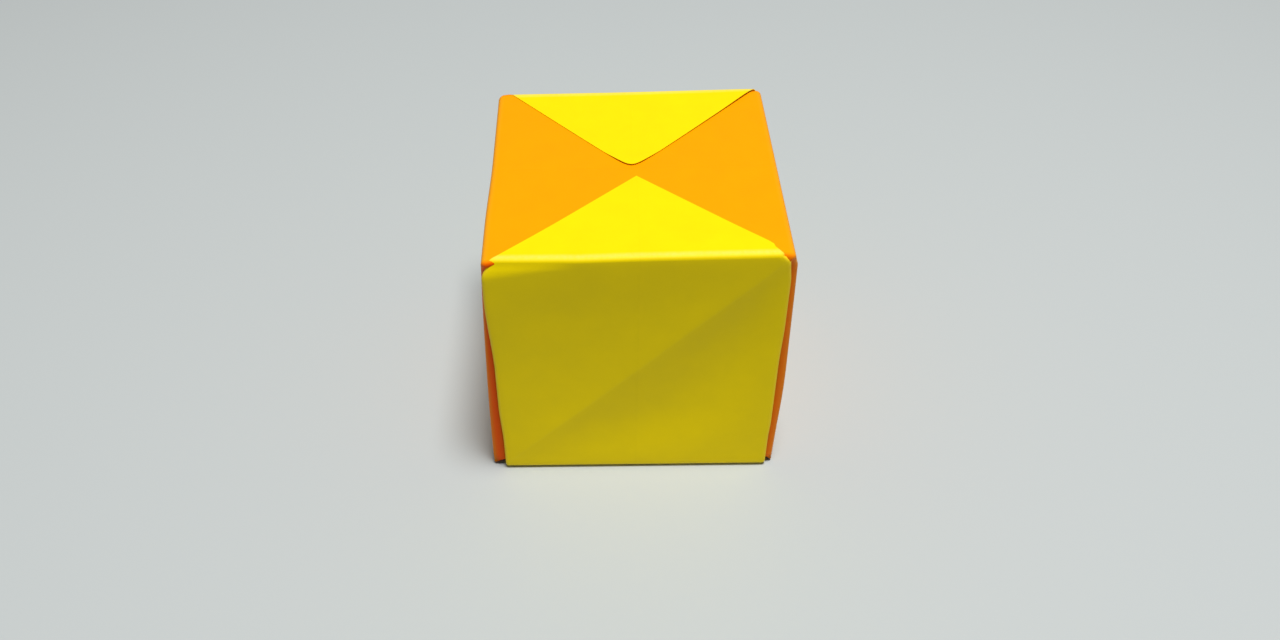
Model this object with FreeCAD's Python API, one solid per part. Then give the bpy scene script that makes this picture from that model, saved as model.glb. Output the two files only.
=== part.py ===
"""A cube-shaped gift box folded from two square sheets of craft paper, one yellow and one orange.

Each sheet is folded the same way. Two opposite corners go to the middle and the edges fold in once more,
which makes a strip with a pointed tip at each end, two side hems folded to the inside and a seam between
them. The strip is then bent into a U: a panel, two walls, and at the top of each wall a crease, past which
the bare tip of the sheet is a triangular flap.

The yellow U stands upright: base, front wall and back wall. The orange U is turned over and set across it:
top, left wall and right wall. The yellow flaps close over the orange top, and the orange flaps close under
the yellow base. Seen from above, the tips of the yellow flaps nearly meet on the orange square.

Frame: millimetres, +Z up, -Y to the front. The origin is in the middle of the footprint, on the surface
that the box stands on.
"""

import FreeCAD, Part
import math
import os

# Driving dimensions, in millimetres
SHEET_SIDE = 150.0  # side of each square sheet before it is folded
PAPER = 0.12  # thickness of one layer of paper
WALL = 0.9  # thickness of a folded wall, from its outer layer to its hems
FOLD_REACH = 0.8  # from a side fold to where its two layers have sprung fully apart
SEAM_GAP = 0.6  # width of the slit between the two hems
BEND_INSIDE = 0.2  # inside radius of the bend between a panel and a wall
TIP_GAP = 4.6  # between the tips of two closed flaps; the height of the box follows from it
CROSS_GAP = 0.1  # clearance where the edges of one sheet run along the walls of the other
FLAP_GAP = 0.05  # clearance between a closed flap and the panel that it lies on
CREASE_GAP = 0.03  # slack between a wall and its flap along the crease
WALL_LEAN = math.radians(1.7)  # slant of a wall at its foot and its top, as the springy paper makes it bow out

# What the folding gives
STRIP_WIDTH = SHEET_SIDE / (2 * math.sqrt(2))
STRIP_HALF_LENGTH = 2 * STRIP_WIDTH  # from the middle of the strip to a tip: half the sheet's diagonal
TAPER_START = 1.5 * STRIP_WIDTH  # along the strip, where the raw edges reach the side folds

# Foot of the wall, which the two sheets share: a small bend between the panel and the wall
PANEL_OUTSIDE = PAPER + FLAP_GAP  # height of the base's underside, above the flaps of the other sheet
WALL_OUTSIDE = STRIP_WIDTH / 2 + CROSS_GAP + WALL  # from the box's middle to a wall's outer face, at its ends
BEND_OUTSIDE = BEND_INSIDE + WALL
BEND_CENTRE = (WALL_OUTSIDE - BEND_OUTSIDE * math.cos(WALL_LEAN), PANEL_OUTSIDE + BEND_OUTSIDE)
WALL_FOOT = PANEL_OUTSIDE + BEND_OUTSIDE * (1 - math.sin(WALL_LEAN))

# Lengths along the middle of the outer layer, from the middle of the strip
CREASE_AXIS_OUT = WALL_OUTSIDE - PAPER / 2
FLAP_LENGTH = CREASE_AXIS_OUT - TIP_GAP / 2
LENGTH_TO_FOOT = BEND_CENTRE[0] + (BEND_OUTSIDE - PAPER / 2) * (math.pi / 2 - WALL_LEAN)
LENGTH_TO_TOP = STRIP_HALF_LENGTH - FLAP_LENGTH - PAPER / 2 - CREASE_GAP

# The rest of the wall: one long shallow arc, as long as the paper that is left for it
BOW_RADIUS = (LENGTH_TO_TOP - LENGTH_TO_FOOT) / (2 * WALL_LEAN) + PAPER / 2
WALL_TOP = WALL_FOOT + 2 * BOW_RADIUS * math.sin(WALL_LEAN)
BOW_CENTRE = (WALL_OUTSIDE - BOW_RADIUS * math.cos(WALL_LEAN), (WALL_FOOT + WALL_TOP) / 2)
CREASE_AXIS_HEIGHT = WALL_TOP + CREASE_GAP + PAPER / 2
BOX_HEIGHT = CREASE_AXIS_HEIGHT + PAPER / 2
TAPER_HEIGHT = WALL_TOP - (LENGTH_TO_TOP - TAPER_START)  # on a wall, where its corners start to be cut off

OVERCUT = PAPER / 2  # how far a cutting shape runs past the paper

X_AXIS = FreeCAD.Vector(1, 0, 0)
Y_AXIS = FreeCAD.Vector(0, 1, 0)


def vector(x, y, z):
    return FreeCAD.Vector(x, y, z)


def on_arc(centre, radius, angle, side):
    """Point in the plane x = 0, at an angle from level, on the +Y or the -Y side of the box."""
    return vector(0, side * (centre[0] + radius * math.cos(angle)), centre[1] + radius * math.sin(angle))


def arc(centre, radius, first, last, side):
    angles = (first, (first + last) / 2, last)
    return Part.Arc(*[on_arc(centre, radius, angle, side) for angle in angles]).toShape()


def wall_arcs(depth, side):
    """The bend and the bowed wall at this depth inside the outer face, from the panel up to the crease."""
    bend = arc(BEND_CENTRE, BEND_OUTSIDE - depth, -math.pi / 2, -WALL_LEAN, side)
    bow = arc(BOW_CENTRE, BOW_RADIUS - depth, -WALL_LEAN, WALL_LEAN, side)
    return [bend, bow]


def u_layer(outer_depth, inner_depth):
    """A U-shaped layer between two depths inside the strip's outer face, wider than the strip."""
    edges = []
    for depth in (outer_depth, inner_depth):
        level = PANEL_OUTSIDE + depth
        ends = [vector(0, side * BEND_CENTRE[0], level) for side in (-1, 1)]
        edges.append(Part.LineSegment(*ends).toShape())
        edges += wall_arcs(depth, -1) + wall_arcs(depth, 1)
    for side in (-1, 1):
        depths = (outer_depth, inner_depth)
        rims = [on_arc(BOW_CENTRE, BOW_RADIUS - depth, WALL_LEAN, side) for depth in depths]
        edges.append(Part.LineSegment(*rims).toShape())
    profile = Part.Face(Part.Wire(Part.__sortEdges__(edges)))
    profile.translate(X_AXIS * (-STRIP_WIDTH / 2 - OVERCUT))
    return profile.extrude(X_AXIS * (STRIP_WIDTH + 2 * OVERCUT))


def strip_section():
    """Section across the strip at the middle of the panel: outer layer, side creases and two hems."""
    edge = STRIP_WIDTH / 2
    sprung = edge - FOLD_REACH
    half = WALL / 2
    inner_edge = edge - PAPER * math.hypot(FOLD_REACH, half) / half
    inner_sprung = inner_edge - FOLD_REACH * (half - PAPER) / half
    right = [
        (sprung, -half),
        (edge, 0),
        (sprung, half),
        (SEAM_GAP / 2, half),
        (SEAM_GAP / 2, half - PAPER),
        (inner_sprung, half - PAPER),
        (inner_edge, 0),
        (inner_sprung, PAPER - half),
    ]
    outline = right + [(-x, z) for x, z in reversed(right)]
    points = [vector(x, 0, PANEL_OUTSIDE + half + z) for x, z in outline]
    return Part.Face(Part.makePolygon(points + points[:1]))


def folded_strip():
    """The strip's section carried along the U: level panel, two bends and two bowed walls."""
    section = strip_section()
    pieces = []
    for side in (-1, 1):
        foot = section.translated(Y_AXIS * (side * BEND_CENTRE[0]))
        pieces.append(section.extrude(Y_AXIS * (side * BEND_CENTRE[0])))
        turn = X_AXIS * side  # turning about this axis lifts the section up the wall
        bend_centre = vector(0, side * BEND_CENTRE[0], BEND_CENTRE[1])
        bend_degrees = math.degrees(math.pi / 2 - WALL_LEAN)
        pieces.append(foot.revolve(bend_centre, turn, bend_degrees))
        wall_foot = foot.rotated(bend_centre, turn, bend_degrees)
        bow_centre = vector(0, side * BOW_CENTRE[0], BOW_CENTRE[1])
        pieces.append(wall_foot.revolve(bow_centre, turn, math.degrees(2 * WALL_LEAN)))
    return pieces[0].multiFuse(pieces[1:]).removeSplitter()


def prism_through_walls(outline):
    """A prism that runs through both walls, from an outline of (x, z) points."""
    reach = BOW_CENTRE[0] + BOW_RADIUS + OVERCUT
    points = [vector(x, -reach, z) for x, z in outline]
    return Part.Face(Part.makePolygon(points + points[:1])).extrude(Y_AXIS * 2 * reach)


def hem_notch():
    """What the raw edges leave out of the hems: a V from the seam up to the side folds."""
    apex = TAPER_HEIGHT - PAPER - STRIP_WIDTH / 2
    reach = STRIP_WIDTH
    notch = prism_through_walls([(0, apex), (reach, apex + reach), (-reach, apex + reach)])
    return notch.common(u_layer(WALL / 2, WALL + OVERCUT))


def corner_cuts():
    """What the raw edges leave out of the outer layer: a small 45 degree cut at each top corner."""
    edge = STRIP_WIDTH / 2
    above = TAPER_HEIGHT + edge
    outer_half = u_layer(-OVERCUT, WALL / 2)
    cuts = []
    for side in (-1, 1):
        outline = [(edge + OVERCUT, TAPER_HEIGHT - OVERCUT), (edge + OVERCUT, above), (0, above)]
        cuts.append(prism_through_walls([(side * x, z) for x, z in outline]).common(outer_half))
    return cuts


def u_sheet():
    """One folded sheet without its flaps, with the panel below and the walls standing up in front and behind."""
    return folded_strip().cut([hem_notch()] + corner_cuts())


def flap(side):
    """The bare tip of the sheet, closed over the top on the +Y or the -Y side, with a round crease edge."""
    bottom = CREASE_AXIS_HEIGHT - PAPER / 2
    corners = [(-FLAP_LENGTH, 0), (FLAP_LENGTH, 0), (0, FLAP_LENGTH)]
    points = [vector(x, side * (CREASE_AXIS_OUT - y), bottom) for x, y in corners]
    plate = Part.Face(Part.makePolygon(points + points[:1])).extrude(vector(0, 0, PAPER))

    def crease_point(out, up):
        return vector(-FLAP_LENGTH, side * (CREASE_AXIS_OUT + out), CREASE_AXIS_HEIGHT + up)

    radius = PAPER / 2
    round_edge = Part.Arc(crease_point(0, -radius), crease_point(radius, 0), crease_point(0, radius)).toShape()
    flat_edge = Part.LineSegment(crease_point(0, radius), crease_point(0, -radius)).toShape()
    crease = Part.Face(Part.Wire([round_edge, flat_edge])).extrude(X_AXIS * 2 * FLAP_LENGTH)

    strip = Part.makeBox(STRIP_WIDTH, 4 * STRIP_WIDTH, 2 * PAPER)
    strip.translate(vector(-STRIP_WIDTH / 2, -2 * STRIP_WIDTH, bottom - PAPER / 2))
    return plate.fuse(crease).removeSplitter().common(strip)


def turned_over(shape):
    """The same fold set across the first one, upside down: front and back become left and right."""
    middle = vector(0, 0, BOX_HEIGHT / 2)
    return shape.rotated(middle, vector(1, 1, 0), 180)


FRONT, BACK = -1, 1
sheet = u_sheet()
nodes = {
    "yellow_sheet": sheet,
    "front_flap": flap(FRONT),
    "back_flap": flap(BACK),
    "orange_sheet": turned_over(sheet),
    "left_flap": turned_over(flap(FRONT)),
    "right_flap": turned_over(flap(BACK)),
}

os.makedirs("parts", exist_ok=True)
for name, shape in nodes.items():
    shape.exportStep(f"parts/{name}.step")
    box = shape.BoundBox
    print(f"{name}: {len(shape.Solids)} solid, valid {shape.isValid()}, {shape.Volume:.2f} mm3")
    print(f"  x {box.XMin:.2f} to {box.XMax:.2f}, y {box.YMin:.2f} to {box.YMax:.2f}")
    print(f"  z {box.ZMin:.2f} to {box.ZMax:.2f}")
bow = BOW_CENTRE[0] + BOW_RADIUS - WALL_OUTSIDE
print(f"strip {STRIP_WIDTH:.2f} wide, flap {FLAP_LENGTH:.2f} long, wall bowed out by {bow:.2f}")
print(f"box {2 * WALL_OUTSIDE:.2f} wide at its edges and {BOX_HEIGHT:.2f} high")
print(f"crease {CREASE_AXIS_OUT:.3f} out and {CREASE_AXIS_HEIGHT:.3f} up")
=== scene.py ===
import math

import bmesh
import bpy
import numpy as np
from mathutils import Matrix, Vector


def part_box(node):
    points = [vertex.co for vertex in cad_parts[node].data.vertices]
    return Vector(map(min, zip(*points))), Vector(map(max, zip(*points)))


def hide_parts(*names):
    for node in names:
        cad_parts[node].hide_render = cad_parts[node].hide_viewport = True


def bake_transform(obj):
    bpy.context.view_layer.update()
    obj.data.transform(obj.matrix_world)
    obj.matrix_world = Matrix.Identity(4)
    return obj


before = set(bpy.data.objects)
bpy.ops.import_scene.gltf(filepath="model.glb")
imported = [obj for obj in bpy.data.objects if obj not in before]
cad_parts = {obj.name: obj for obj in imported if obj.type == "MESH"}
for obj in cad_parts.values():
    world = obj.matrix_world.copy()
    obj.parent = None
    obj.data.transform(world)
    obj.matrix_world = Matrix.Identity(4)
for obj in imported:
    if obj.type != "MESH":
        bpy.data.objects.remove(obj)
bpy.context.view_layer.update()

# The camera.
# It looks down at the front of the box from a little to the left of its middle, as in the photo, and stands
# close enough for the walls to draw together downwards.
view_settings = bpy.context.scene.view_settings
view_settings.view_transform = "Standard"
IMAGE_WIDTH = 1280
FOCAL_PIXELS = 1132.1
SENSOR = 36.0
camera_data = bpy.data.cameras.new("camera")
camera_data.sensor_fit = "HORIZONTAL"
camera_data.sensor_width = SENSOR
camera_data.lens = FOCAL_PIXELS / IMAGE_WIDTH * SENSOR
camera_data.clip_start = 0.01
camera = bpy.data.objects.new("camera", camera_data)
bpy.context.scene.collection.objects.link(camera)
CAMERA_PLACE = Vector((-0.005128, -0.17923, 0.17923))
CAMERA_YAW = math.radians(2.072)
CAMERA_PITCH = math.radians(42.378)
CAMERA_ROLL = math.radians(0.521)
forward = Vector((
    math.sin(CAMERA_YAW) * math.cos(CAMERA_PITCH),
    math.cos(CAMERA_YAW) * math.cos(CAMERA_PITCH),
    -math.sin(CAMERA_PITCH),
))
level_right = Vector((math.cos(CAMERA_YAW), -math.sin(CAMERA_YAW), 0))
level_up = level_right.cross(forward)
right = level_right * math.cos(CAMERA_ROLL) + level_up * math.sin(CAMERA_ROLL)
up = -level_right * math.sin(CAMERA_ROLL) + level_up * math.cos(CAMERA_ROLL)
turned = Matrix((right, up, -forward)).transposed().to_4x4()
camera.matrix_world = Matrix.Translation(CAMERA_PLACE) @ turned
bpy.context.scene.camera = camera

# The studio.
# A plain pale floor, a weak even sky, and one soft lamp high over the box, a little to its front and right.
FLOOR_TONE = (0.525, 0.555, 0.555, 1)
FLOOR_SIZE = 6.0
SKY_COLOUR = (0.97, 0.99, 1.0, 1)
SKY_STRENGTH = 0.125
LAMP_SIZE = 0.3
LAMP_POWER = 10.9
LAMP_PLACE = Vector((0.1, -0.13, 1.0))
LAMP_TARGET = Vector((0, 0, 0.03))
floor_mesh = bpy.data.meshes.new("floor")
edge = FLOOR_SIZE / 2
floor_corners = [(-edge, -edge, 0), (edge, -edge, 0), (edge, edge, 0), (-edge, edge, 0)]
floor_mesh.from_pydata(floor_corners, [], [(0, 1, 2, 3)])
floor = bpy.data.objects.new("floor", floor_mesh)
bpy.context.scene.collection.objects.link(floor)
floor_finish = bpy.data.materials.new("floor")
floor_finish.use_nodes = True
floor_shader = floor_finish.node_tree.nodes["Principled BSDF"]
floor_shader.inputs["Base Color"].default_value = FLOOR_TONE
floor_shader.inputs["Roughness"].default_value = 0.9
floor_shader.inputs["Specular IOR Level"].default_value = 0.1
floor_mesh.materials.append(floor_finish)

sky = bpy.data.worlds.new("sky")
sky.use_nodes = True
sky.node_tree.nodes["Background"].inputs["Color"].default_value = SKY_COLOUR
sky.node_tree.nodes["Background"].inputs["Strength"].default_value = SKY_STRENGTH
bpy.context.scene.world = sky

lamp_data = bpy.data.lights.new("overhead", "AREA")
lamp_data.shape = "DISK"
lamp_data.size = LAMP_SIZE
lamp_data.energy = LAMP_POWER
lamp_data.color = (1.0, 1.0, 0.99)
lamp = bpy.data.objects.new("overhead", lamp_data)
lamp.location = LAMP_PLACE
lamp.rotation_euler = (LAMP_TARGET - LAMP_PLACE).to_track_quat("-Z", "Y").to_euler()
bpy.context.scene.collection.objects.link(lamp)

# The folded strips.
# Each is one square of paper, folded into a strip with hems along its inside and a bare tip at each end.
# Half a strip is drawn at a time, from the middle of its panel along one wall to the tip, as one sheet with
# its real thickness. The box stands a little skewed and loose, as folded paper does.
strip_low, strip_high = (Vector(corner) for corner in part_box("yellow_sheet"))
flap_low, flap_high = (Vector(corner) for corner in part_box("front_flap"))
HALF_STRIP = strip_high.x
PAPER = flap_high.z - flap_low.z
WALL_OUT = -flap_low.y
PANEL_UP = strip_low.z
FLAP_UP = (flap_low.z + flap_high.z) / 2
FLAP_BASE = flap_high.x
BOX_HEIGHT = flap_high.z
WALL = 0.0009  # thickness of a folded wall, from its outer layer to its hems
FOLD_REACH = 0.0006  # from a side fold to where its two layers lie fully apart
SEAM = 0.0006  # width of the slit between the two hems
FOOT_RADIUS = 0.00104  # of the bend between panel and wall, at the middle of the outer layer
CREASE_RADIUS = 0.0007  # of the bend between wall and flap
LEAN = math.radians(1.7)  # slant of the bowed wall at its foot and its top
TWIST = math.radians(1.09)  # of the top against the base
TALLER = 0.00085  # how much the settled box stands higher than its solids, at its middle
RISE_TO_RIGHT = 0.00018
RISE_TO_BACK = 0.00017
TOP_BACK = 0.00027  # how far the top is moved back against the base
COLUMN_STEP = 0.0011  # between the columns of a panel's or wall's mesh
FOLD_COLUMNS = 6
HEM_COLUMNS = 12
SHARP_ANGLE = math.radians(50)

# Where the middle of the outer layer runs: foot bend, bowed wall, crease bend, flap
foot_centre = (WALL_OUT - PAPER / 2 - FOOT_RADIUS * math.cos(LEAN), PANEL_UP + PAPER / 2 + FOOT_RADIUS)
wall_foot = WALL_OUT - PAPER / 2
crease_centre = (wall_foot - CREASE_RADIUS * math.cos(LEAN), FLAP_UP - CREASE_RADIUS)
wall_bottom = foot_centre[1] - FOOT_RADIUS * math.sin(LEAN)
wall_top = crease_centre[1] + CREASE_RADIUS * math.sin(LEAN)
bow_radius = (wall_top - wall_bottom) / (2 * math.sin(LEAN))
bow_centre = (wall_foot - bow_radius * math.cos(LEAN), (wall_top + wall_bottom) / 2)

panel_end = foot_centre[0]
wall_start = panel_end + FOOT_RADIUS * (math.pi / 2 - LEAN)
wall_end = wall_start + 2 * LEAN * bow_radius
flap_start = wall_end + CREASE_RADIUS * (math.pi / 2 - LEAN)

flat_half = HALF_STRIP - FOLD_REACH
hem_depth = WALL - PAPER
fold_length = math.pi * math.sqrt((FOLD_REACH**2 + (hem_depth / 2) ** 2) / 2)
folded_half = flat_half + fold_length
hem_length = flat_half - SEAM / 2
box_middle = Vector((0, 0, BOX_HEIGHT / 2))


def spread(start, end, step):
    return np.linspace(start, end, max(2, int(round((end - start) / step)) + 1))


def strip_rows(end):
    """Places along the strip: close together at the bends and near the tip."""
    near_tip = 0.003
    stretches = [
        spread(0, panel_end, 0.0012),
        spread(panel_end, wall_start, 0.0002),
        spread(wall_start, wall_end, 0.0009),
        spread(wall_end, flap_start, 0.00012),
        spread(flap_start, end - near_tip, 0.0008),
        end - near_tip * np.linspace(0, 1, 21) ** 2,
    ]
    return np.unique(np.concatenate(stretches).round(8))


def line_along(p):
    """Out and up of the outer layer's middle, and its inward direction, at each length p along the strip."""
    on_arcs = [
        (panel_end, wall_start, foot_centre, FOOT_RADIUS, -math.pi / 2, -LEAN),
        (wall_start, wall_end, bow_centre, bow_radius, -LEAN, LEAN),
        (wall_end, flap_start, crease_centre, CREASE_RADIUS, LEAN, math.pi / 2),
    ]
    out = p.copy()
    rise = np.full_like(p, PANEL_UP + PAPER / 2)
    inward_out = np.zeros_like(p)
    inward_up = np.ones_like(p)
    for start, end, centre, radius, first, last in on_arcs:
        on = (p > start) & (p <= end)
        angle = first + (p[on] - start) / (end - start) * (last - first)
        out[on] = centre[0] + radius * np.cos(angle)
        rise[on] = centre[1] + radius * np.sin(angle)
        inward_out[on] = -np.cos(angle)
        inward_up[on] = -np.sin(angle)
    flat = p > flap_start
    out[flat] = crease_centre[0] - (p[flat] - flap_start)
    rise[flat] = FLAP_UP
    inward_up[flat] = -1
    return out, rise, inward_out, inward_up


def half_width(p, tip, base, blunt):
    """Developed half width of the paper at each length. Its edges run from the flap's base towards a tip,
    and bend round to meet a blunt length before it."""
    width = np.sqrt(np.clip((tip - p) ** 2 - blunt**2, 0, None)) * base / (tip - flap_start)
    return np.clip(width, 0, folded_half + hem_length)


def smooth(x):
    x = np.clip(x, 0, 1)
    return x * x * (3 - 2 * x)


def wall_height(p):
    """0 at the foot of the wall and 1 at its crease, for a length p along the strip."""
    return np.clip((p - wall_start) / (wall_end - wall_start), 0, 1)


def flap_reach(p):
    return np.clip(p - flap_start, 0, None)


def on_wall(p):
    """1 on the wall, fading at its foot and past its crease."""
    return smooth((p - wall_start) / 0.002) * (1 - smooth(flap_reach(p) / 0.012))


def settled(x, y, z):
    """The point in the box as it stands: its top turned and moved back against the base, and not level."""
    level = z / BOX_HEIGHT
    angle = TWIST * (level - 0.5)
    rise = (TALLER + RISE_TO_RIGHT * x / WALL_OUT + RISE_TO_BACK * y / WALL_OUT) * level
    turned_x = x * math.cos(angle) - y * math.sin(angle)
    turned_y = x * math.sin(angle) + y * math.cos(angle)
    return turned_x, turned_y + TOP_BACK * (level - 0.5), z + rise


def still(p, a):
    return 0 * p


def half_strip(
    name, place, half, tip_out, bases, blunt=0.0, push=still, flare=still, lift=still, spring=still
):
    """One half of a folded strip, half being -1 or 1. tip_out is where the closed flap's edges meet, from
    the middle of the box, and bases are the flap's half widths at its crease. For a length p along the strip
    and a place a across it, push(p, a) moves the paper outwards, flare(p, a) across, lift(p, a) up, and
    spring(p, a) opens the side folds."""
    tip = flap_start + crease_centre[0] - tip_out
    rows = strip_rows(tip - blunt)
    outer = spread(-flat_half, flat_half, COLUMN_STEP)
    past_outer = flat_half + np.linspace(0, 1, FOLD_COLUMNS + 1)[1:] * fold_length
    columns = np.concatenate([-past_outer[::-1], outer, past_outer])
    hem = np.linspace(0, 1, HEM_COLUMNS + 1)[1:]

    left, right = (half_width(rows, tip, base, blunt)[:, None] for base in bases)
    scale = np.minimum(1, np.where(columns[None, :] < 0, left, right) / folded_half)
    left_hem = -(np.minimum(left, folded_half) + np.clip(left - folded_half, 0, None) * hem[::-1])
    right_hem = np.minimum(right, folded_half) + np.clip(right - folded_half, 0, None) * hem
    developed = np.concatenate([left_hem, columns * scale, right_hem], axis=1)
    length = np.repeat(rows[:, None], developed.shape[1], axis=1)

    size = np.abs(developed)
    turn = np.clip((size - flat_half) / fold_length, 0, 1) * math.pi
    across = np.minimum(size, flat_half) + FOLD_REACH * np.sin(turn)
    across = (across - np.clip(size - folded_half, 0, None)) * np.sign(developed)
    depth = (hem_depth + spring(length, across)) / 2 * (1 - np.cos(turn))

    lines = line_along(length.ravel())
    out, rise, inward_out, inward_up = (values.reshape(length.shape) for values in lines)
    out = out + inward_out * depth + push(length, across)
    rise = rise + inward_up * depth + lift(length, across)
    across = across + flare(length, across)

    points = np.stack([across, out, rise], axis=-1)
    count_rows, count_columns = length.shape
    mesh = bpy.data.meshes.new(name)
    bm = bmesh.new()
    sheet_map = bm.loops.layers.uv.new("sheet")
    vertices = [
        [bm.verts.new(settled(*place(*points[i, j]))) for j in range(count_columns)]
        for i in range(count_rows)
    ]
    for i in range(count_rows - 1):
        for j in range(count_columns - 1):
            corners = [(i, j), (i, j + 1), (i + 1, j + 1), (i + 1, j)]
            face = bm.faces.new([vertices[a][b] for a, b in corners])
            for loop, (a, b) in zip(face.loops, corners):
                loop[sheet_map].uv = (half * length[a, b], developed[a, b])
    bmesh.ops.remove_doubles(bm, verts=bm.verts, dist=2e-7)
    bmesh.ops.dissolve_degenerate(bm, edges=bm.edges, dist=1e-7)
    outward = 0.0
    for face in bm.faces:
        if face.calc_area() > 1e-7:
            outward += face.normal.dot(face.calc_center_median() - box_middle)
    if outward < 0:
        bmesh.ops.reverse_faces(bm, faces=bm.faces)
    bm.to_mesh(mesh)
    bm.free()
    piece = bpy.data.objects.new(name, mesh)
    bpy.context.scene.collection.objects.link(piece)
    thicken = piece.modifiers.new("thickness", "SOLIDIFY")
    thicken.thickness = PAPER
    thicken.offset = 0
    bpy.context.view_layer.update()
    thick_piece = piece.evaluated_get(bpy.context.evaluated_depsgraph_get())
    solid = bpy.data.meshes.new_from_object(thick_piece)
    piece.modifiers.clear()
    piece.data = solid
    solid.shade_smooth()
    solid.set_sharp_from_angle(angle=SHARP_ANGLE)
    return piece


# The yellow strip.
# It stands upright: base, front wall and back wall, with the front and back flaps closed over the top. Each
# wall keeps a slanting mark from the first fold of the square. The back flap's tip is blunt and springs up.


def quarter_fold(p, a):
    """The first fold of the square, opened out again: a ridge from a wall's bottom left to its top right.
    Below it the paper dips in a valley that widens from the top right corner, and above it a little."""
    full_width, widens_over = 0.0138, 0.0145
    gentle_slope, corner_slope, slope_fades_over = 0.055, 0.17, 0.016
    share_at_edge, edge_reach = 0.35, 0.008
    dip, more_dip, dip_reach = 0.00035, 0.00025, 0.0065
    h = wall_height(p)
    down, left = (1 - h) * 2 * HALF_STRIP, HALF_STRIP - a
    along, below = (down + left) / math.sqrt(2), (down - left) / math.sqrt(2)
    valley_width = full_width * (1 - np.exp(-along / widens_over)) + 1e-9
    slope = gentle_slope + corner_slope * np.exp(-along / slope_fades_over)
    from_ridge = np.clip(below / valley_width, 0, 4)
    valley = slope * valley_width * from_ridge * np.exp((1 - from_ridge**3) / 3)
    valley = valley * (share_at_edge + (1 - share_at_edge) * smooth((HALF_STRIP - a) / edge_reach))
    above = dip + more_dip * smooth((along - 0.025) / 0.035)
    above = above * (1 - np.exp(np.clip(below, None, 0) / dip_reach))
    above = above * smooth((HALF_STRIP + a) / 0.012) * smooth((1 - h) / 0.25)
    return -(valley + above) * smooth(h / 0.28)


def front_push(p, a):
    """A shallow hollow, the mark of the first fold, the fold down the strip's middle, and the rolled top edge
    at the left with its corner sprung out."""
    hollow_depth, centre_height, corner_out = 0.0003, 0.00004, 0.0004
    rolled_share, roll_slope = 0.052, 0.36
    h = wall_height(p)
    hollow = -hollow_depth * np.sin(math.pi * h)
    centre_fold = centre_height * np.exp(-((a / 0.0012) ** 2)) * smooth((0.45 - h) / 0.3)
    corner_flare = corner_out * smooth((-a - 0.012) / 0.015) * smooth((h - 0.5) / 0.35)
    rolled = rolled_share * np.clip((-a - 0.011) / 0.0155, 0, 1) + 1e-6
    roll = -roll_slope * rolled * (wall_end - wall_start) * np.clip((h - 1 + rolled) / rolled, 0, 1) ** 1.5
    return (hollow + quarter_fold(p, a) + centre_fold + corner_flare + roll) * on_wall(p)


def front_flare(p, a):
    """Both side edges spread above the middle of the wall, the left one more, and the flap leans to the
    right, with its right corner drawn in."""
    left_low, left_high = 0.00038, 0.00072
    right_low, right_high = 0.0002, 0.0003
    corner_in, flap_lean = 0.0013, 0.013
    h = wall_height(p)
    r = flap_reach(p)
    left = left_low * smooth((h - 0.12) / 0.2) + left_high * smooth((h - 0.5) / 0.36)
    left = left * smooth((-a - 0.012) / 0.0145) * smooth((1 - h) / 0.053)
    right = right_low * smooth((h - 0.12) / 0.1) + right_high * smooth((h - 0.5) / 0.2)
    right = right * smooth((a - 0.012) / 0.0145) * smooth((1 - h) / 0.12)
    corner = corner_in * smooth((a - 0.018) / 0.0085) * smooth((p - wall_end + 0.0008) / 0.0012)
    corner = corner * smooth((0.003 - r) / 0.002)
    return right - left - corner + flap_lean * r


def front_lift(p, a):
    """The crease climbs a little to the right."""
    climb_height = 0.00016
    climb = climb_height * smooth((a + 0.018) / 0.02)
    return climb * smooth((p - wall_end + 0.002) / 0.003) * smooth((0.01 - flap_reach(p)) / 0.008)


def back_push(p, a):
    mark_share = 0.7
    return mark_share * quarter_fold(p, -a) * on_wall(p)


def back_flare(p, a):
    flap_lean = -0.018
    return flap_lean * flap_reach(p)


def back_lift(p, a):
    """The tip springs up, and the flap's right side and right corner stand a little higher."""
    tip_rise, right_rise, corner_rise = 0.0002, 0.00022, 0.00018
    r = flap_reach(p)
    tip = tip_rise * smooth((r - 0.021) / 0.004)
    right = right_rise * smooth((a + 0.006) / 0.03) * smooth((p - wall_end) / (flap_start - wall_end))
    corner = corner_rise * smooth((a - 0.015) / 0.01) * smooth(r / 0.0012) * smooth((0.012 - r) / 0.01)
    return tip + right + corner


yellow_front = half_strip(
    "yellow_front",
    lambda a, o, u: (a, -o, u),
    half=-1,
    tip_out=0.0028,
    bases=(0.0256, 0.0266),
    push=front_push,
    flare=front_flare,
    lift=front_lift,
)
yellow_back = half_strip(
    "yellow_back",
    lambda a, o, u: (a, o, u),
    half=1,
    tip_out=-0.001,
    bases=(0.0242, 0.0257),
    blunt=0.0018,
    push=back_push,
    flare=back_flare,
    lift=back_lift,
)
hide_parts("yellow_sheet", "front_flap")
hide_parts("yellow_sheet", "back_flap")

# The orange strip.
# It is the same fold turned over and set across the yellow one: top, left wall and right wall, with its own
# flaps closed under the base. Its walls spread towards the front, and its open corners spring apart.


def to_front(a):
    """1 at the strip's front edge and 0 at its back edge."""
    return smooth(0.5 - a / (2 * HALF_STRIP))


def at_corner(p, size, back=0.0, reach=0.0022):
    """A bulge of the given size at the end of the panel, back from there by some, and reaching so far."""
    return size * np.exp(-(((p - panel_end - 0.0004 + back) / reach) ** 2))


def left_lean(p, a):
    """The left wall leans out towards the table, most at its front edge."""
    lean_out = 0.00155
    return lean_out * wall_height(p) * to_front(a) * smooth((p - wall_start) / 0.002)


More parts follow.
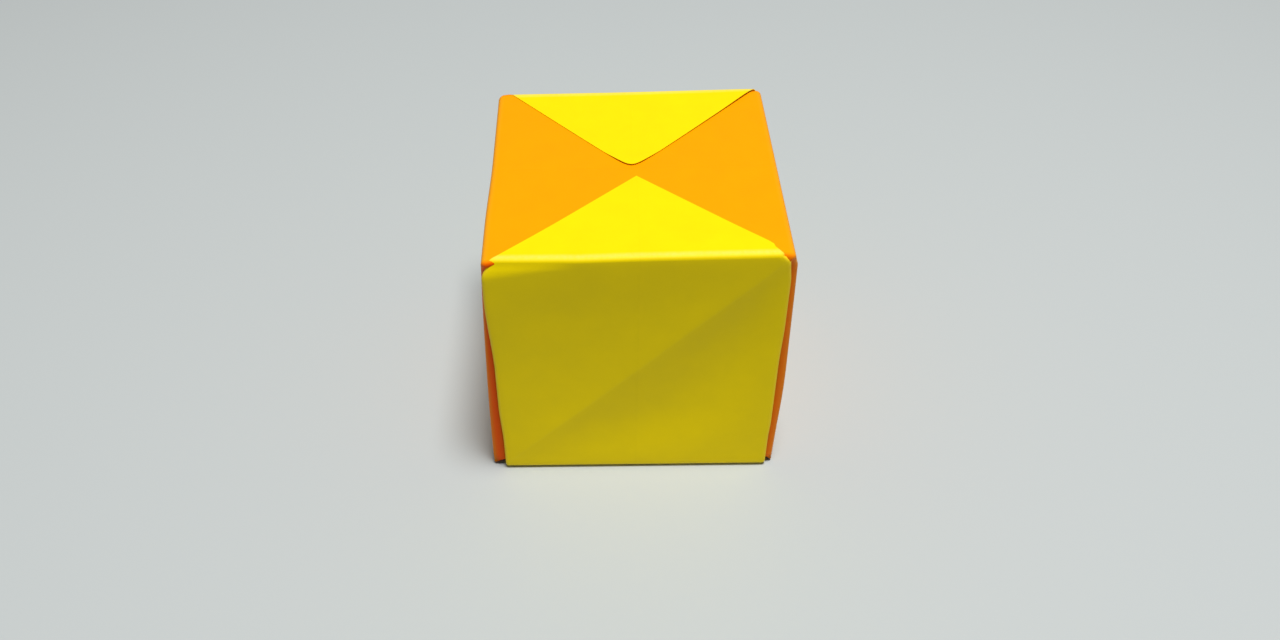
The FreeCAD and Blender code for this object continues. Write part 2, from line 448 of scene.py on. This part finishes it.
def left_push(p, a):
    front_bend, bend_change, mark_share = 0.00015, 0.00037, 0.25
    bent = front_bend - bend_change * smooth((a + 0.016) / 0.02)
    bent = bent * smooth((p - panel_end + 0.002) / 0.002) * smooth(1 - wall_height(p) / 0.5)
    return bent + left_lean(p, a) + mark_share * quarter_fold(p, a) * on_wall(p)


def right_swell(p, a):
    swell_out, more_swell, swell_height = 0.0005, 0.00025, 0.62
    h = wall_height(p)
    swell = swell_out * smooth(h / 0.04) + more_swell * np.exp(-(((h - swell_height) / 0.2) ** 2))
    return swell * to_front(a) * on_wall(p)


def right_push(p, a):
    mark_share = 0.2
    return right_swell(p, a) + mark_share * quarter_fold(p, -a) * on_wall(p)


def left_spring(p, a):
    """At the panel's corners and along the wall's front edge the folded layers stand apart."""
    front_corner, back_corner, front_edge = 0.0007, 0.0013, 0.0006
    corner = np.where(a < 0, at_corner(p, front_corner), at_corner(p, back_corner))
    return corner + (left_lean(p, 0 * a - HALF_STRIP) + front_edge * on_wall(p)) * (a < 0)


def right_spring(p, a):
    corner, front_edge = 0.0013, 0.0005
    apart = right_swell(p, 0 * a - HALF_STRIP) + front_edge * on_wall(p)
    return at_corner(p, corner) + apart * (a < 0)


def left_flare(p, a):
    """The panel's corners, which no yellow paper covers, spread out past its edges."""
    front_corner, back_corner = 0.0008, 0.0013
    at_back = at_corner(p, back_corner, back=0.0016, reach=0.0032)
    spread_out = np.where(a < 0, at_corner(p, front_corner), at_back)
    return spread_out * np.clip(a / HALF_STRIP, -1, 1) ** 3


def right_flare(p, a):
    corner = 0.0008
    return at_corner(p, corner) * np.clip(a / HALF_STRIP, -1, 1) ** 3


orange_left = half_strip(
    "orange_left",
    lambda a, o, u: (-o, a, BOX_HEIGHT - u),
    half=-1,
    tip_out=0.0023,
    bases=(FLAP_BASE, FLAP_BASE),
    push=left_push,
    spring=left_spring,
    flare=left_flare,
)
orange_right = half_strip(
    "orange_right",
    lambda a, o, u: (o, a, BOX_HEIGHT - u),
    half=1,
    tip_out=0.0023,
    bases=(FLAP_BASE, FLAP_BASE),
    push=right_push,
    spring=right_spring,
    flare=right_flare,
)
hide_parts("orange_sheet", "left_flap")
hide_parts("orange_sheet", "right_flap")

# The paper's finish.
# Both sheets are dyed craft paper: fine fibres, a little uneven in tone, paler where the creases are worn,
# with the marks of the first folds pressed into it. Painted shade darkens the side folds and the centre
# crease, and the crease between wall and flap is paler from wear and a painted highlight. The map "sheet"
# gives each point's place on the flat sheet, in metres.


def add_node(tree, kind, inputs=(), **settings):
    """A new node; inputs are pairs of a socket and what goes into it, a value or another node's output."""
    added = tree.nodes.new("ShaderNode" + kind)
    for key, value in settings.items():
        setattr(added, key, value)
    for socket, source in inputs:
        if isinstance(source, bpy.types.NodeSocket):
            tree.links.new(source, added.inputs[socket])
        else:
            added.inputs[socket].default_value = source
    return added


def folded_paper_group():
    tree = bpy.data.node_groups.new("folded_paper", "ShaderNodeTree")
    # The fold colour is painted shade for the side folds; the worn colour is wear, with a painted highlight
    # on the crease between wall and flap.
    for name in ("Colour", "Wear And Highlight Colour", "Fold Shade Colour"):
        tree.interface.new_socket(name, in_out="INPUT", socket_type="NodeSocketColor")
    tree.interface.new_socket("Fold Shade Share", in_out="INPUT", socket_type="NodeSocketFloat")
    tree.interface.new_socket("Colour", in_out="OUTPUT", socket_type="NodeSocketColor")
    tree.interface.new_socket("Roughness", in_out="OUTPUT", socket_type="NodeSocketFloat")
    tree.interface.new_socket("Normal", in_out="OUTPUT", socket_type="NodeSocketVector")
    given = tree.nodes.new("NodeGroupInput")
    result = tree.nodes.new("NodeGroupOutput")

    def maths(operation, *values):
        return add_node(tree, "Math", list(enumerate(values)), operation=operation).outputs[0]

    def line(distance, width):
        """1 on a line and 0 beyond its width, from the distance to it."""
        size = maths("ABSOLUTE", distance)
        ends = [("Value", size), ("From Max", width), ("To Min", 1.0), ("To Max", 0.0)]
        return add_node(tree, "MapRange", ends, interpolation_type="SMOOTHSTEP").outputs[0]

    def noise(place, scale, detail):
        inputs = [("Vector", place), ("Scale", scale), ("Detail", detail), ("Roughness", 0.6)]
        return add_node(tree, "TexNoise", inputs).outputs["Fac"]

    sheet = add_node(tree, "UVMap", uv_map="sheet").outputs["UV"]
    parts = add_node(tree, "SeparateXYZ", [("Vector", sheet)])
    along, across = parts.outputs["X"], parts.outputs["Y"]
    run = maths("ABSOLUTE", along)

    stretched = add_node(tree, "Mapping", [("Vector", sheet), ("Scale", (0.3, 1.0, 1.0))]).outputs[0]
    crossed = add_node(tree, "Mapping", [("Vector", sheet), ("Scale", (1.0, 0.35, 1.0))]).outputs[0]
    fibres = maths("ADD", noise(stretched, 6500.0, 3.0), noise(crossed, 5200.0, 3.0))
    mottle = noise(sheet, 150.0, 4.0)
    crumple = noise(sheet, 1100.0, 3.0)

    side_width, crease_width, foot_width, centre_width, ridge_width = 0.0011, 0.0010, 0.0012, 0.0004, 0.0005
    from_middle = maths("ABSOLUTE", across)
    # Painted shade: the side folds take a darker, redder colour, as if lying in shade.
    side_fold_shade = line(maths("SUBTRACT", from_middle, flat_half + fold_length / 2), side_width)
    crease = line(maths("SUBTRACT", run, flap_start + 0.0002), crease_width)
    foot = line(maths("SUBTRACT", run, (panel_end + wall_start) / 2), foot_width)
    centre = line(across, centre_width)
    strip_to_wall = 2 * HALF_STRIP / (wall_end - wall_start)
    climbed = maths("MULTIPLY", maths("SUBTRACT", run, wall_start), strip_to_wall)
    mirrored = maths("MULTIPLY", across, maths("SIGN", maths("MULTIPLY", along, -1.0)))
    from_ridge = maths("SUBTRACT", maths("ADD", mirrored, HALF_STRIP), climbed)
    ridge = line(from_ridge, ridge_width)
    kink = maths("EXPONENT", maths("MULTIPLY", maths("MAXIMUM", from_ridge, 0.0), -180.0))
    part_turn = maths("MULTIPLY", climbed, math.pi / (2 * HALF_STRIP))
    part_turn = maths("MINIMUM", maths("MAXIMUM", part_turn, 0.0), math.pi)
    hollow = maths("SINE", part_turn)

    uneven = maths("ADD", maths("MULTIPLY", crumple, 1.2), 0.2)
    # Paler lines: wear at the foot and along the ridge, and at the crease between wall and flap wear with a
    # painted highlight.
    crease_wear_and_highlight, foot_wear, ridge_wear = 0.85, 0.3, 0.06
    wear_and_highlight_lines = maths("MAXIMUM", maths("MULTIPLY", crease, crease_wear_and_highlight), maths("MULTIPLY", foot, foot_wear))
    wear_and_highlight_lines = maths("MAXIMUM", wear_and_highlight_lines, maths("MULTIPLY", ridge, ridge_wear))
    wear_and_highlight = maths("MULTIPLY", wear_and_highlight_lines, uneven)
    colour = add_node(
        tree,
        "Mix",
        [("Factor", wear_and_highlight), (6, given.outputs["Colour"]), (7, given.outputs["Wear And Highlight Colour"])],
        data_type="RGBA",
    ).outputs[2]
    # How much painted shade the side folds take.
    shade_share = maths("MULTIPLY", side_fold_shade, given.outputs["Fold Shade Share"])
    colour = add_node(
        tree, "Mix", [("Factor", shade_share), (6, colour), (7, given.outputs["Fold Shade Colour"])], data_type="RGBA"
    ).outputs[2]
    tone = maths("ADD", maths("MULTIPLY", mottle, 0.1), maths("MULTIPLY", fibres, 0.035))
    # A little painted shade in the centre crease.
    tone = maths("SUBTRACT", maths("ADD", tone, 0.915), maths("MULTIPLY", centre, 0.012))
    colour = add_node(
        tree, "Mix", [("Factor", 1.0), (6, colour), (7, tone)], data_type="RGBA", blend_type="MULTIPLY"
    ).outputs[2]

    fibre_depth, mottle_depth, centre_depth = 0.000007, 0.00006, 0.00001
    kink_depth, hollow_depth, crumple_depth = 0.00014, 0.0006, 0.00003
    height = maths("ADD", maths("MULTIPLY", fibres, fibre_depth), maths("MULTIPLY", mottle, mottle_depth))
    height = maths("SUBTRACT", height, maths("MULTIPLY", centre, centre_depth))
    height = maths("ADD", height, maths("MULTIPLY", kink, kink_depth))
    height = maths("SUBTRACT", height, maths("MULTIPLY", hollow, hollow_depth))
    crumpled = maths("MULTIPLY", wear_and_highlight_lines, crumple)
    height = maths("ADD", height, maths("MULTIPLY", crumpled, crumple_depth))
    bump = add_node(tree, "Bump", [("Height", height), ("Distance", 1.0), ("Strength", 1.0)])
    tree.links.new(colour, result.inputs["Colour"])
    tree.links.new(maths("ADD", maths("MULTIPLY", mottle, 0.2), 0.45), result.inputs["Roughness"])
    tree.links.new(bump.outputs["Normal"], result.inputs["Normal"])
    return tree


paper_group = folded_paper_group()


def paper_finish(name, colour, wear_and_highlight, fold, shade_share, sheen):
    """Dyed paper. Its side folds take the fold colour as painted shade, by a share given for the first and
    the second half.
    """
    finish = bpy.data.materials.new(name)
    finish.use_nodes = True
    tree = finish.node_tree
    place = add_node(tree, "UVMap", uv_map="sheet")
    along = add_node(tree, "SeparateXYZ", [("Vector", place.outputs["UV"])])
    fade = 0.03
    # How much painted shade the side folds take, going over from the first half's share to the second's.
    fold_shade_share = add_node(
        tree,
        "MapRange",
        [
            ("Value", along.outputs["X"]),
            ("From Min", -fade),
            ("From Max", fade),
            ("To Min", shade_share[0]),
            ("To Max", shade_share[1]),
        ],
    )
    paper = tree.nodes.new("ShaderNodeGroup")
    paper.node_tree = paper_group
    paper.inputs["Colour"].default_value = colour
    paper.inputs["Wear And Highlight Colour"].default_value = wear_and_highlight
    paper.inputs["Fold Shade Colour"].default_value = fold
    tree.links.new(fold_shade_share.outputs[0], paper.inputs["Fold Shade Share"])
    shader = tree.nodes["Principled BSDF"]
    shader.inputs["Specular IOR Level"].default_value = 0.3
    shader.inputs["Specular Tint"].default_value = sheen
    tree.links.new(paper.outputs["Colour"], shader.inputs["Base Color"])
    tree.links.new(paper.outputs["Roughness"], shader.inputs["Roughness"])
    tree.links.new(paper.outputs["Normal"], shader.inputs["Normal"])
    return finish


# The fold colours are painted shade on the side folds; the worn colours are wear, and on the crease between
# wall and flap also a painted highlight.
yellow_paper = paper_finish(
    "yellow_paper",
    colour=(0.95, 0.715, 0.002, 1),
    wear_and_highlight=(0.93, 0.76, 0.11, 1),
    fold=(0.93, 0.62, 0.03, 1),
    shade_share=(0.5, 0.5),
    sheen=(1.0, 0.85, 0.05, 1),
)
orange_paper = paper_finish(
    "orange_paper",
    colour=(0.93, 0.352, 0.0008, 1),
    wear_and_highlight=(0.95, 0.42, 0.03, 1),
    fold=(0.85, 0.06, 0.0005, 1),
    shade_share=(0.9, 0.6),
    sheen=(1.0, 0.5, 0.02, 1),
)
for piece in (yellow_front, yellow_back):
    piece.data.materials.append(yellow_paper)
for piece in (orange_left, orange_right):
    piece.data.materials.append(orange_paper)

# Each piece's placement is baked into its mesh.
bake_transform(yellow_front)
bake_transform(yellow_back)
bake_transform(orange_left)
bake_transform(orange_right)
